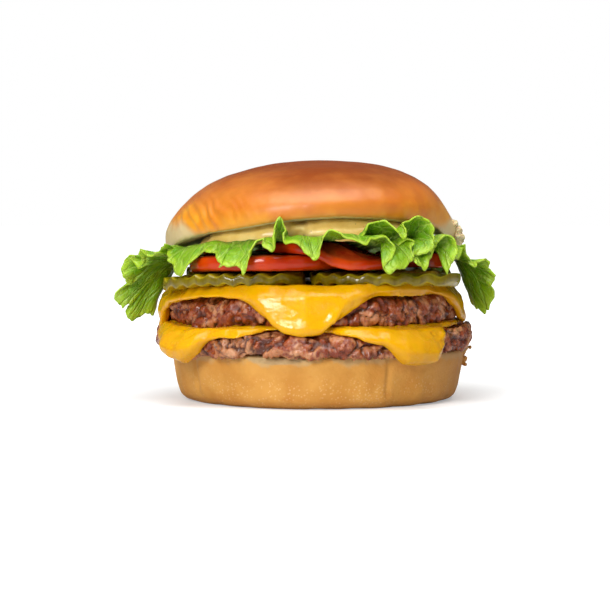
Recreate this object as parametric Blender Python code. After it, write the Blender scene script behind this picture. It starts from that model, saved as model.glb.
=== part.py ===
"""A double cheeseburger: bun heel, two smashed patties with melted cheese, pickles, tomato, leaf lettuce, sauce, crown.

The burger stands on its heel at the origin, +Z up, and its shown side faces -Y.
An azimuth is measured from that front, positive towards +X. Layers are stacked from the heel up,
each a closed solid that keeps a small gap to the next.
"""

import math

import bmesh
import bpy
from mathutils import Vector, noise

MM = 0.001
GAP = 0.35 * MM

# Heights of the stack, from the table up
HEEL_TOP = 18.3 * MM
LOWER_PATTY_LOW = HEEL_TOP + GAP
LOWER_PATTY_TOP = 26.2 * MM
UPPER_PATTY_LOW = 27.9 * MM
UPPER_PATTY_TOP = 37.6 * MM
PICKLE_MIDDLE = 42.75 * MM
TOMATO_LOW = 45.7 * MM
CROWN_TOP = 82.0 * MM

# Outlines
HEEL_RADIUS = 50.3 * MM
HEEL_FOOT_RADIUS = 48.2 * MM
LOWER_PATTY_RADIUS = 54.9 * MM
UPPER_PATTY_RADIUS = 49.6 * MM
CROWN_RADIUS = 50.9 * MM
SAUCE_RADIUS = 42.2 * MM
PATTY_ROUNDING = 2.7 * MM

# Pieces that repeat
AROUND = 58
AROUND_BREAD = 40
PICKLE_THICKNESS = 3.5 * MM
PICKLE_RIDGE = 0.95 * MM
PICKLE_PITCH = 5.6 * MM
TOMATO_THICKNESS = 5.2 * MM
UPPER_TOMATO_THICKNESS = 3.8 * MM
LEAF_THICKNESS = 0.9 * MM
FIRST_TOMATO = (-17.5 * MM, -21.5 * MM)
FIRST_TOMATO_RADIUS = 25.5 * MM


def polar(radius, azimuth, centre=(0.0, 0.0)):
    """The point at this distance and azimuth, with azimuth 0 at the front."""
    return centre[0] + radius * math.sin(azimuth), centre[1] - radius * math.cos(azimuth)


def turns(count):
    """Evenly spaced azimuths all the way round."""
    return [2 * math.pi * i / count for i in range(count)]


def smooth(low, high, value):
    """0 below low, 1 above high, and a smooth rise between them."""
    share = max(0.0, min(1.0, (value - low) / (high - low)))
    return share * share * (3 - 2 * share)


def lump(point, size, seed):
    """Smooth noise from -1 to 1, with lumps of this size."""
    return noise.noise(Vector(point) / size + Vector((seed, 2.7 * seed, -1.3 * seed)))


def turned_from(azimuth, other):
    """The angle between two azimuths, from 0 to pi."""
    return abs(math.remainder(azimuth - other, 2 * math.pi))


def food(name, mesh, colour, roughness, flat=False):
    """Puts a finished bmesh into the scene as an object with its own material."""
    bmesh.ops.recalc_face_normals(mesh, faces=mesh.faces)
    data = bpy.data.meshes.new(name)
    mesh.to_mesh(data)
    mesh.free()
    if not flat:
        data.shade_smooth()
        data.set_sharp_from_angle(angle=math.radians(50))
    material = bpy.data.materials.new(name)
    material.use_nodes = True
    shader = material.node_tree.nodes["Principled BSDF"]
    shader.inputs["Base Color"].default_value = (*colour, 1)
    shader.inputs["Roughness"].default_value = roughness
    data.materials.append(material)
    piece = bpy.data.objects.new(name, data)
    bpy.context.scene.collection.objects.link(piece)
    return piece


def ringed(first, rings, last):
    """A closed mesh of rings of points, closed by a point at each end."""
    mesh = bmesh.new()
    top = mesh.verts.new(first)
    bottom = mesh.verts.new(last)
    loops = [[mesh.verts.new(point) for point in ring] for ring in rings]
    count = len(loops[0])
    for i in range(count):
        j = (i + 1) % count
        mesh.faces.new((top, loops[0][i], loops[0][j]))
        mesh.faces.new((bottom, loops[-1][j], loops[-1][i]))
        for upper, lower in zip(loops, loops[1:]):
            mesh.faces.new((upper[i], lower[i], lower[j], upper[j]))
    return mesh


def heel_radius(height, azimuth):
    """The heel's side: a rounded foot, then a wall that flares a little up to the cut."""
    foot = 4.6 * MM
    wall = HEEL_FOOT_RADIUS + (HEEL_RADIUS - HEEL_FOOT_RADIUS) * smooth(0, HEEL_TOP, height)
    if height < foot:
        wall -= foot * 1.1 * (1 - math.sqrt(1 - (1 - height / foot) ** 2))
    dents = ((math.radians(-62), 0.9 * MM), (math.radians(37), 0.8 * MM), (math.radians(140), 0.9 * MM))
    for place, depth in dents:
        wall -= depth * math.exp(-((turned_from(azimuth, place) / 0.07) ** 2))
    return wall + 0.7 * MM * lump(polar(wall, azimuth) + (height,), 22 * MM, 1.0)


def make_heel():
    """The bottom half of the bun, cut flat on top, with its lower edge rounded."""
    def cut(radius, azimuth):
        x, y = polar(radius, azimuth)
        return HEEL_TOP - 0.5 * MM * abs(lump((x, y, 0), 14 * MM, 2.0))

    rings = []
    for share in (0.45, 0.93):
        rings.append([(*polar(share * HEEL_RADIUS, a), cut(share * HEEL_RADIUS, a)) for a in turns(AROUND_BREAD)])
    for height in [HEEL_TOP - 0.7 * MM, 13 * MM, 8.5 * MM, 5 * MM, 2.2 * MM, 0.6 * MM, 0.0]:
        rings.append([(*polar(heel_radius(height, a), a), height) for a in turns(AROUND_BREAD)])
    mesh = ringed((0, 0, HEEL_TOP - 0.2 * MM), rings, (0, 0, 0))
    return food("heel", mesh, (0.62, 0.36, 0.12), 0.75)


def patty_outline(radius, azimuth, seed):
    """The patty's ragged outline: broad bulges, notches and small crags."""
    x, y = polar(radius, azimuth)
    broad = 1.1 * MM * lump((x, y, 0), 30 * MM, seed)
    return radius + broad - 0.8 * MM


def make_patty(name, radius, low, high, centre, seed, overhang=0.0):
    """A smashed patty: flat faces and a thick craggy rim with pits, sagging by overhang where it passes the heel."""
    rounding = PATTY_ROUNDING
    pit = 2.3 * MM

    def envelope(ring, azimuth):
        edge = patty_outline(radius, azimuth, seed)
        flat = edge - rounding
        kind, share = ring
        if kind == "top":
            return flat * share, high, 0.0, 1.0
        if kind == "low":
            return (flat - 1.5 * MM) * share, low, 0.0, -1.0
        side_low = low + rounding
        side_high = high - rounding
        if share < 0.3:
            turn = share / 0.3 * math.pi / 2
            return flat + rounding * math.sin(turn), side_high + rounding * math.cos(turn), math.sin(turn), math.cos(turn)
        if share > 0.7:
            turn = (share - 0.7) / 0.3 * math.pi / 2
            return flat + rounding * math.cos(turn), side_low - rounding * math.sin(turn), math.cos(turn), -math.sin(turn)
        return edge, side_high + (side_low - side_high) * (share - 0.3) / 0.4, 1.0, 0.0

    def point(ring, azimuth):
        r, z, out, up = envelope(ring, azimuth)
        x, y = polar(r, azimuth, centre)
        crags = 0.62 * abs(lump((x, y, z * 1.4), 9 * MM, seed)) + 0.38 * abs(lump((x, y, z * 1.6), 5 * MM, seed + 3))
        depth = 0.45 * MM + 1.5 * pit * crags if ring[0] == "side" else 0.35 * pit * crags
        x, y = polar(r - out * depth, azimuth, centre)
        past = smooth(HEEL_RADIUS + 1.2 * MM, HEEL_RADIUS + 3 * MM, math.hypot(x, y)) * smooth(high, low, z)
        return x, y, z - up * depth - overhang * past * (0.55 + 0.45 * math.cos(azimuth - 0.3))

    kinds = [("top", 0.5), ("top", 0.86), ("side", 0.02)]
    kinds += [("side", share) for share in (0.16, 0.3, 0.44, 0.57, 0.7, 0.84, 0.98)]
    kinds += [("low", 1.0), ("low", 0.6)]
    rings = [[point(kind, a) for a in turns(AROUND)] for kind in kinds]
    mesh = ringed((*centre, high - 0.3 * MM), rings, (*centre, low + 0.3 * MM))
    return food(name, mesh, (0.26, 0.11, 0.05), 0.5)


def slice_reach(azimuth, shortest, corners):
    """How far a melted slice runs past the patty's flat top: short sides, and a long tongue at each corner."""
    reach = shortest
    for place, length, half_width in corners:
        share = turned_from(azimuth, math.radians(place)) / math.radians(half_width)
        reach = max(reach, shortest + (length - shortest) * (1 - smooth(0.3, 1.4, share)))
    x, y = polar(60 * MM, azimuth)
    return reach + 0.8 * MM * lump((x, y, 0), 9 * MM, 8.0)


def make_cheese(name, radius, top, centre, seed, thin, fat, shortest, corners):
    """A melted slice draped over a patty: it follows the flat top and the shoulder, then hangs straight down."""
    rounding = PATTY_ROUNDING
    clear = 0.62 * MM

    def draped(distance, azimuth):
        """A point of the patty's shoulder line at this distance out from the centre, and the way out of it."""
        edge = patty_outline(radius, azimuth, seed)
        flat = edge - rounding
        quarter = rounding * math.pi / 2
        if distance <= flat:
            return distance, top, 0.0, 1.0
        if distance <= flat + quarter:
            turn = (distance - flat) / rounding
            return flat + rounding * math.sin(turn), top - rounding + rounding * math.cos(turn), math.sin(turn), math.cos(turn)
        return edge, top - rounding - (distance - flat - quarter), 1.0, 0.0

    def point(flat_share, hang_share, lift, azimuth):
        """lift is 0 on the side that touches the patty and 1 on the outer side."""
        flat = patty_outline(radius, azimuth, seed) - rounding
        reach = slice_reach(azimuth, shortest, corners)
        start = min(flat, flat + reach - 1 * MM)
        hang = flat + reach - start
        distance = start * flat_share + hang * hang_share
        out_share = smooth(flat - 1 * MM, flat + 8 * MM, distance)
        swell = thin + (fat - thin) * out_share * smooth(2 * MM, 9 * MM, reach)
        swell *= 1 + 0.25 * lump((*polar(distance, azimuth), 0), 11 * MM, seed + 5) * out_share
        tip = min(2.4 * MM, hang)
        round_end = math.sqrt(max(0.0, 1 - max(0.0, 1 - hang * (1 - hang_share) / tip) ** 2))
        r, z, out, up = draped(distance, azimuth)
        offset = clear + swell * round_end * lift
        return (*polar(r + out * offset, azimuth, centre), z + up * offset)

    under = [(0.5, 0, 0), (1, 0, 0), (1, 0.22, 0), (1, 0.435, 0), (1, 1, 0)]
    over = [(1, 0.985, 1), (1, 0.9, 1), (1, 0.68, 1), (1, 0.38, 1), (1, 0.16, 1), (0.97, 0, 1), (0.5, 0, 1)]
    rings = [[point(*spot, a) for a in turns(AROUND)] for spot in under + over]
    mesh = ringed((*centre, top + clear), rings, (*centre, top + clear + thin))
    return food(name, mesh, (0.9, 0.5, 0.01), 0.3)


def make_pickle(name, centre, half_length, half_width, turn, ridge_turn, tilt):
    """A crinkle-cut slice: an oval whose two faces carry the same ridges, at ridge_turn to X."""
    steps = 44
    along = Vector((math.cos(ridge_turn), math.sin(ridge_turn)))
    across = Vector((-along.y, along.x))
    long_axis = Vector((math.cos(turn), math.sin(turn)))
    short_axis = Vector((-long_axis.y, long_axis.x))

    def half_span(direction):
        return math.hypot(half_length * long_axis.dot(direction), half_width * short_axis.dot(direction))

    reach = half_span(across)

    def chord(offset):
        """The two ends of the ridge line at this distance across the oval."""
        a, b = long_axis.dot(along) / half_length, short_axis.dot(along) / half_width
        c, d = long_axis.dot(across) / half_length, short_axis.dot(across) / half_width
        square, middle = a * a + b * b, (a * c + b * d) * offset
        root = math.sqrt(max(0.0, middle * middle - square * ((c * c + d * d) * offset * offset - 1)))
        return (-middle - root) / square, (-middle + root) / square

    mesh = bmesh.new()
    sections = []
    for i in range(steps + 1):
        offset = reach * math.sin((i / steps - 0.5) * math.pi * 0.985)
        wave = PICKLE_RIDGE * math.cos(2 * math.pi * offset / PICKLE_PITCH)
        corners = []
        for end in chord(offset):
            place = Vector(centre) + across * offset + along * end
            for side in (-0.5, 0.5):
                height = PICKLE_MIDDLE + wave + side * PICKLE_THICKNESS + tilt * (place.x - centre[0])
                corners.append(mesh.verts.new((place.x, place.y, height)))
        sections.append(corners)
    for a, b in zip(sections, sections[1:]):
        mesh.faces.new((a[1], a[3], b[3], b[1]))
        mesh.faces.new((a[0], b[0], b[2], a[2]))
        mesh.faces.new((a[0], a[1], b[1], b[0]))
        mesh.faces.new((a[2], b[2], b[3], a[3]))
    mesh.faces.new((sections[0][0], sections[0][2], sections[0][3], sections[0][1]))
    mesh.faces.new((sections[-1][0], sections[-1][1], sections[-1][3], sections[-1][2]))
    return food(name, mesh, (0.30, 0.28, 0.04), 0.35, flat=True)


def second_tomato_low(x, y):
    """Underside of the slice that lies half over its neighbour and bends down past it to the pickles."""
    high = TOMATO_LOW + TOMATO_THICKNESS + GAP
    past = math.hypot(x - FIRST_TOMATO[0], y - FIRST_TOMATO[1]) - FIRST_TOMATO_RADIUS
    return high - (high - TOMATO_LOW - 0.1 * MM) * smooth(1.5 * MM, 11 * MM, past)


def make_tomato(name, centre, radius, thickness, low, bent=False):
    """A slice with slightly bulging skin; low gives the height of its underside, and a bent one has rings for that."""
    shares = [(0.965, 1.0), (1.0, 0.86), (1.012, 0.5), (1.0, 0.14), (0.965, 0.0)]
    if bent:
        shares = [(0.27, 1.0), (0.55, 1.0)] + shares + [(0.55, 0.0), (0.27, 0.0)]
    rings = []
    for share, level in shares:
        ring = []
        for a in turns(24):
            uneven = radius * (1 + 0.02 * math.sin(2 * a + centre[0] * 90) + 0.008 * math.sin(5 * a))
            x, y = polar(uneven * share, a, centre)
            ring.append((x, y, low(x, y) + thickness * level))
        rings.append(ring)
    floor = low(*centre)
    mesh = ringed((*centre, floor + thickness), rings, (*centre, floor))
    return food(name, mesh, (0.62, 0.06, 0.01), 0.25)


def sagging(x, y, places, start, full):
    """How far a layer sags near its rim at these places: azimuth, half width in degrees and depth."""
    azimuth = math.atan2(x, -y)
    sag = sum(deep * math.exp(-((turned_from(azimuth, at) / math.radians(wide)) ** 2)) for at, wide, deep in places)
    return sag * smooth(start, full, math.hypot(x, y))


def bed(x, y):
    """Middle of the lettuce where it lies over the tomato slices, higher where two slices overlap."""
    table = TOMATO_LOW + TOMATO_THICKNESS + GAP + 0.5 * LEAF_THICKNESS
    lift = UPPER_TOMATO_THICKNESS + GAP + 0.1 * MM
    rise = smooth(-45 * MM, -21 * MM, x) * (1 - smooth(8 * MM, 32 * MM, x))
    sunk = sagging(x, y, ((math.radians(-92), 14, 3.2 * MM),), 35 * MM, 45 * MM)
    return table + 0.05 * MM + lift * rise * (1 - smooth(6 * MM, 27 * MM, y)) - sunk


def crown_low(x, y):
    """The crown's cut face: raised at the front, drooping at the sides and lower at the back."""
    droops = ((math.radians(-88), 24, 3.4 * MM), (math.radians(-36), 18, 1.5 * MM), (math.radians(86), 16, 6.2 * MM))
    sides = 3.6 * MM * (x / (50 * MM)) ** 2 + sagging(x, y, droops, 43.2 * MM, 49 * MM)
    return 58.9 * MM - 0.085 * y + 0.03 * x - sides


def leaf_point(knots, inner, u, v):
    """A point of a ruffled leaf: u runs along the margin from knot to knot, v from the bed out to the margin."""
    spans = len(knots) - 1
    i = min(int(u * spans), spans - 1)
    t = u * spans - i
    before, after = knots[i], knots[i + 1]
    eased = t * t * (3 - 2 * t)
    swing = math.sin(2 * math.pi * t) / (2 * math.pi)
    azimuth = math.radians(before[0] + (after[0] - before[0]) * (t + 0.9 * v * v * swing))
    margin_r, margin_z, lift = [(a + (b - a) * eased) * MM for a, b in zip(before[1:], after[1:])]
    even = math.radians(knots[0][0] + (knots[-1][0] - knots[0][0]) * u)
    azimuth = even + (azimuth - even) * smooth(0.0, 0.75, v)
    fold = 45.5 * MM
    if v < 0.25:
        x, y = polar(inner + (fold - inner) * v / 0.25, azimuth)
        return Vector((x, y, bed(x, y)))
    w = (v - 0.25) / 0.75
    start = bed(*polar(fold, azimuth))
    crest_r = fold + 0.45 * (margin_r - fold)
    r = fold * (1 - w) ** 2 + 2 * crest_r * w * (1 - w) + margin_r * w ** 2
    z = start * (1 - w) ** 2 + 2 * lift * w * (1 - w) + margin_z * w ** 2
    return Vector((*polar(r, azimuth), z))


def make_leaf(name, knots, inner, steps_u, steps_v):
    """A thin wavy leaf, both faces split into triangles alike, thickened by a Solidify modifier."""
    mesh = bmesh.new()
    grid = []
    for i in range(steps_u + 1):
        grid.append([mesh.verts.new(leaf_point(knots, inner, i / steps_u, j / steps_v)) for j in range(steps_v + 1)])
    for a, b in zip(grid, grid[1:]):
        for j in range(steps_v):
            mesh.faces.new((a[j], b[j], b[j + 1], a[j + 1]))
    bmesh.ops.triangulate(mesh, faces=mesh.faces)
    piece = food(name, mesh, (0.16, 0.32, 0.03), 0.4, flat=True)
    wall = piece.modifiers.new("wall", "SOLIDIFY")
    wall.thickness = LEAF_THICKNESS
    wall.offset = 0.0
    wall.use_even_offset = False
    return piece


def make_sauce():
    """The thick sauce spread under the crown, bulging out at the front between crown and lettuce."""
    def edge(azimuth):
        front = math.exp(-((turned_from(azimuth, math.radians(2)) / 0.75) ** 2))
        x, y = polar(40 * MM, azimuth)
        return SAUCE_RADIUS * (0.82 + 0.22 * front + 0.05 * lump((x, y, 0), 16 * MM, 4.0))

    def high(x, y):
        return crown_low(x, y) - GAP

    def low(x, y):
        return bed(x, y) + 0.5 * LEAF_THICKNESS + 3.0 * GAP

    rings = []
    for share, level in ((0.5, 1.0), (0.93, 1.0), (1.0, 0.82), (1.03, 0.5), (1.0, 0.2), (0.93, 0.0), (0.5, 0.0)):
        ring = []
        for a in turns(32):
            x, y = polar(edge(a) * share, a)
            ring.append((x, y, low(x, y) + (high(x, y) - low(x, y)) * level))
        rings.append(ring)
    mesh = ringed((0, 0, high(0, 0)), rings, (0, 0, low(0, 0)))
    return food("sauce", mesh, (0.72, 0.55, 0.22), 0.3)


def crown_radius(azimuth):
    """The crown's widest radius: a little flat at the front right, with a torn lump of crumb on the right side."""
    base = CROWN_RADIUS + 1.6 * MM * math.exp(-((turned_from(azimuth, math.radians(-90)) / 0.8) ** 2))
    return base - 3.4 * MM * math.exp(-((turned_from(azimuth, math.radians(88)) / 0.7) ** 2))


def make_crown():
    """The domed top of the bun: a plump skin over a cut face that follows crown_low."""
    tear_place, tear_height = math.radians(92), 54.2 * MM

    def dome(share, azimuth):
        """share runs from 0 at the cut edge to 1 at the top of the dome."""
        radius = crown_radius(azimuth)
        right = math.exp(-((turned_from(azimuth, math.radians(75)) / 1.1) ** 2))
        power = 2.1 + 0.55 * right
        turn = share * math.pi / 2
        x, y = polar(radius, azimuth)
        floor = crown_low(x, y)
        r = radius * max(0.0, math.cos(turn)) ** (2 / power)
        z = floor + (CROWN_TOP - floor) * math.sin(turn) ** (2 / power)
        tuck = 1.5 * MM * (1 - smooth(0.0, 0.16, share))
        r = r - tuck + 0.8 * MM * lump((*polar(r, azimuth), z), 26 * MM, 6.0)
        near = (turned_from(azimuth, tear_place) / 0.26) ** 2 + ((z - tear_height) / (5.5 * MM)) ** 2
        r += 6.4 * MM * math.exp(-near) * smooth(0.0, 0.05, share)
        return (*polar(r, azimuth, (-1.2 * MM, 0)), z)

    shares = (0.93, 0.84, 0.74, 0.63, 0.52, 0.41, 0.31, 0.22, 0.14, 0.07, 0.02, 0.0)
    rings = [[dome(share, a) for a in turns(AROUND_BREAD)] for share in shares]
    for share in (0.94, 0.78, 0.5):
        ring = []
        for a in turns(AROUND_BREAD):
            x, y = polar((crown_radius(a) - 1.6 * MM) * share, a, (-1.2 * MM, 0))
            ring.append((x, y, crown_low(x, y)))
        rings.append(ring)
    mesh = ringed((-1.2 * MM, 0, CROWN_TOP), rings, (-1.2 * MM, 0, crown_low(0, 0)))
    return food("crown", mesh, (0.55, 0.22, 0.03), 0.4)


# Corners of the two melted square slices: azimuth in degrees, length past the flat top, half width in degrees
UPPER_CORNERS = ((-3, 12.6 * MM, 19), (90, 10 * MM, 16), (176, 12 * MM, 18), (-93, 12.5 * MM, 17), (-128, 6 * MM, 14))
LOWER_CORNERS = ((-53, 13 * MM, 15), (38, 13 * MM, 17), (135, 12 * MM, 16), (-140, 11 * MM, 16))

# Margins of the leaves, knot by knot: azimuth in degrees, then in millimetres the distance from the middle,
# the height, and the height that the leaf is drawn towards on its way out
FRONT_LEAF = (
    (-62, 55, 49, 54), (-55, 58, 44.5, 57), (-47, 54, 53, 58), (-36, 58, 46.5, 60), (-31, 56, 49, 60),
    (-26, 58, 45.5, 60), (-20, 54, 57, 58), (-16.5, 57, 53, 57), (-13, 53.5, 62.5, 58), (-8, 55, 55, 57),
    (-2, 58, 50, 58), (6.5, 54, 59.5, 56), (14, 55.5, 55, 57), (19, 55, 57, 57), (24, 58.5, 45.5, 60),
    (31, 57, 49, 60), (36, 57.5, 47.5, 60), (41.5, 53.5, 62.5, 58), (47, 57, 50, 57), (52, 54, 56.5, 55),
    (57, 57, 46, 54),
)
LEFT_LEAF = (
    (-69, 55, 55, 52), (-72, 56, 53.5, 51), (-75, 57, 50.5, 50), (-78, 62.5, 51.5, 49.5), (-79.5, 64, 45, 49.5),
    (-81.5, 68, 49.5, 49), (-84, 68.5, 42.5, 49), (-85.5, 66.5, 39.5, 48.5), (-87, 70.5, 35.5, 48.5),
    (-89.5, 65, 32.5, 48), (-92, 65, 27, 48), (-95, 61, 28, 48), (-99, 58, 29, 48.5), (-108, 59, 36, 49.5),
    (-117, 58, 47, 50), (-126, 57, 55, 50), (-137, 60, 46, 52), (-148, 56, 55.5, 51), (-160, 60, 45.5, 52),
    (-176, 56, 52, 51.5),
)
RIGHT_LEAF = (
    (64, 54, 54, 52), (70, 54.5, 53, 50), (73, 56, 45.5, 48), (76, 58, 48.5, 47), (79, 60.5, 47, 47),
    (82.5, 62, 43, 46.5), (85, 60.5, 39.5, 46.5), (87, 61, 36.5, 46.5), (90, 59, 30, 46.5), (93, 55, 31.5, 46.5),
    (95, 55, 27, 46.5), (99, 57, 31, 46.5), (106, 59, 38, 48), (115, 58, 48, 50), (126, 57, 55.5, 52),
    (138, 60, 46, 51), (150, 56, 55.5, 51), (164, 60, 45, 52), (179, 56, 52, 51.5),
)


def main():
    for piece in list(bpy.data.objects):
        bpy.data.objects.remove(piece)
    make_heel()
    lower_centre, upper_centre = (-1.3 * MM, 0.0), (-2.2 * MM, 0.0)
    make_patty("patty_lower", LOWER_PATTY_RADIUS, LOWER_PATTY_LOW, LOWER_PATTY_TOP, lower_centre, 11.0,
               2.0 * MM)
    make_cheese("cheese_lower", LOWER_PATTY_RADIUS, LOWER_PATTY_TOP, lower_centre, 11.0,
                0.9 * MM, 5.2 * MM, -2.5 * MM, LOWER_CORNERS)
    make_patty("patty_upper", UPPER_PATTY_RADIUS, UPPER_PATTY_LOW, UPPER_PATTY_TOP, upper_centre, 23.0)
    make_cheese("cheese_upper", UPPER_PATTY_RADIUS, UPPER_PATTY_TOP, upper_centre, 23.0,
                1.5 * MM, 3.4 * MM, 2.6 * MM, UPPER_CORNERS)
    pickles = (
        ("pickle_front_left", (-28.5, -25.5), 26, 17.5, -28, 62, 0.0),
        ("pickle_front_right", (22.5, -27.5), 26, 17.0, 14, 68, 0.0),
        ("pickle_back_right", (25.5, 20.0), 25, 15.5, -42, 100, 0.0),
        ("pickle_back_left", (-23.0, 23.0), 26, 16.0, 34, 20, 0.0),
    )
    for name, centre, half_length, half_width, turn, ridges, tilt in pickles:
        place = (centre[0] * MM, centre[1] * MM)
        make_pickle(name, place, half_length * MM, half_width * MM, math.radians(turn), math.radians(ridges), tilt)

    def level(x, y):
        return TOMATO_LOW

    make_tomato("tomato_front_left", FIRST_TOMATO, FIRST_TOMATO_RADIUS, TOMATO_THICKNESS, level)
    make_tomato("tomato_front_right", (4.0 * MM, -24.5 * MM), 23.0 * MM, UPPER_TOMATO_THICKNESS, second_tomato_low,
                bent=True)
    make_tomato("tomato_right", (31.5 * MM, -3.0 * MM), 12.0 * MM, TOMATO_THICKNESS, level)
    make_tomato("tomato_back", (-2.0 * MM, 24.5 * MM), 20.5 * MM, TOMATO_THICKNESS, level)
    make_leaf("lettuce_front", FRONT_LEAF, 20 * MM, 60, 4)
    make_leaf("lettuce_left", LEFT_LEAF, 32 * MM, 57, 4)
    make_leaf("lettuce_right", RIGHT_LEAF, 32 * MM, 54, 4)
    make_sauce()
    make_crown()


main()
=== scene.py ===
import math

import bpy
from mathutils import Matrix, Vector, noise


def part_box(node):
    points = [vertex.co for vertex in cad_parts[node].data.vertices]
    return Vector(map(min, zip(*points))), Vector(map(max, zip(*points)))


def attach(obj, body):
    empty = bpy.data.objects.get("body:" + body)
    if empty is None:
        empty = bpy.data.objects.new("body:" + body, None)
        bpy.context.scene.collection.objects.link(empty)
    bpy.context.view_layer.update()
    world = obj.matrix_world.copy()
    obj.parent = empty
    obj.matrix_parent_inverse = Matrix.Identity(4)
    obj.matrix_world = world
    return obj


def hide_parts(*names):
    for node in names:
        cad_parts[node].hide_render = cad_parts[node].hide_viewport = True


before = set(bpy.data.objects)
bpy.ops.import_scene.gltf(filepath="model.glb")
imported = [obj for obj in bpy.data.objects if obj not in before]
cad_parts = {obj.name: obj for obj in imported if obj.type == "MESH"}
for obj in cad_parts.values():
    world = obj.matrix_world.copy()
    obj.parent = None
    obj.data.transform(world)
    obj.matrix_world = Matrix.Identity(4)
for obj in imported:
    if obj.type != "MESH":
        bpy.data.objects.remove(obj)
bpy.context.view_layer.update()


# Heel
# The bottom half of a soft bun, baked pale gold, with painted shade that browns its right side. It is cut
# across with a knife, which leaves a band of torn pale crumb along its top edge, and it carries the whole
# stack.

MM = 0.001


def select_only(piece):
    """Selects this piece alone and makes it the active one."""
    bpy.ops.object.select_all(action="DESELECT")
    piece.select_set(True)
    bpy.context.view_layer.objects.active = piece


def copy_of(node, name):
    """A new object on its own copy of a CAD node's mesh, with its loose triangles merged into one skin."""
    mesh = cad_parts[node].data.copy()
    mesh.name = name
    mesh.materials.clear()
    piece = bpy.data.objects.new(name, mesh)
    bpy.context.scene.collection.objects.link(piece)
    select_only(piece)
    bpy.ops.object.mode_set(mode="EDIT")
    bpy.ops.mesh.select_all(action="SELECT")
    bpy.ops.mesh.customdata_custom_splitnormals_clear()
    bpy.ops.mesh.remove_doubles(threshold=0.01 * MM)
    bpy.ops.object.mode_set(mode="OBJECT")
    return piece


def shape(piece, kind, **settings):
    """Adds a modifier with these settings and applies it."""
    select_only(piece)
    modifier = piece.modifiers.new(kind.lower(), kind)
    for setting, value in settings.items():
        setattr(modifier, setting, value)
    bpy.ops.object.modifier_apply(modifier=modifier.name)


def fine_skin(piece, voxel, rounds):
    """Remeshes a closed piece into even small faces and rounds its edges off."""
    shape(piece, "REMESH", mode="VOXEL", voxel_size=voxel)
    shape(piece, "SMOOTH", factor=0.5, iterations=rounds)


def lump(point, size, seed):
    """Smooth noise from -1 to 1 with lumps of this size."""
    return noise.noise(Vector(point) / size + Vector((seed, 1.7 * seed, -2.3 * seed)))


def pushed(piece, depth, note=None):
    """Moves each point along its normal by depth(place, normal), and can note a number at each point."""
    mesh = piece.data
    normals = [point.normal.copy() for point in mesh.vertices]
    values = []
    for point, normal in zip(mesh.vertices, normals):
        moved = depth(point.co, normal)
        move, value = moved if isinstance(moved, tuple) else (moved, 0.0)
        point.co += normal * move
        values.append(value)
    if note:
        mesh.attributes.new(note, "FLOAT", "POINT").data.foreach_set("value", values)
    mesh.update()


def rise(low, high, value):
    """0 below low, 1 above high, and a smooth rise between them."""
    share = max(0.0, min(1.0, (value - low) / (high - low)))
    return share * share * (3 - 2 * share)


def azimuth_of(place):
    """The azimuth of a place round the stack, 0 at the front and positive towards +X."""
    return math.atan2(place.x, -place.y)


def apart(azimuth, degrees):
    """The angle in degrees between an azimuth and one given in degrees."""
    return abs(math.degrees(math.remainder(azimuth - math.radians(degrees), 2 * math.pi)))


def bell(azimuth, middle, width):
    """1 at the middle azimuth, in degrees, and nearly 0 at twice the width to either side of it."""
    return math.exp(-((apart(azimuth, middle) / width) ** 2))


def tint(red, green, blue):
    """A colour from its 0 to 255 screen values."""
    linear = [((part / 255 + 0.055) / 1.055) ** 2.4 for part in (red, green, blue)]
    return (*linear, 1.0)


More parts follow.
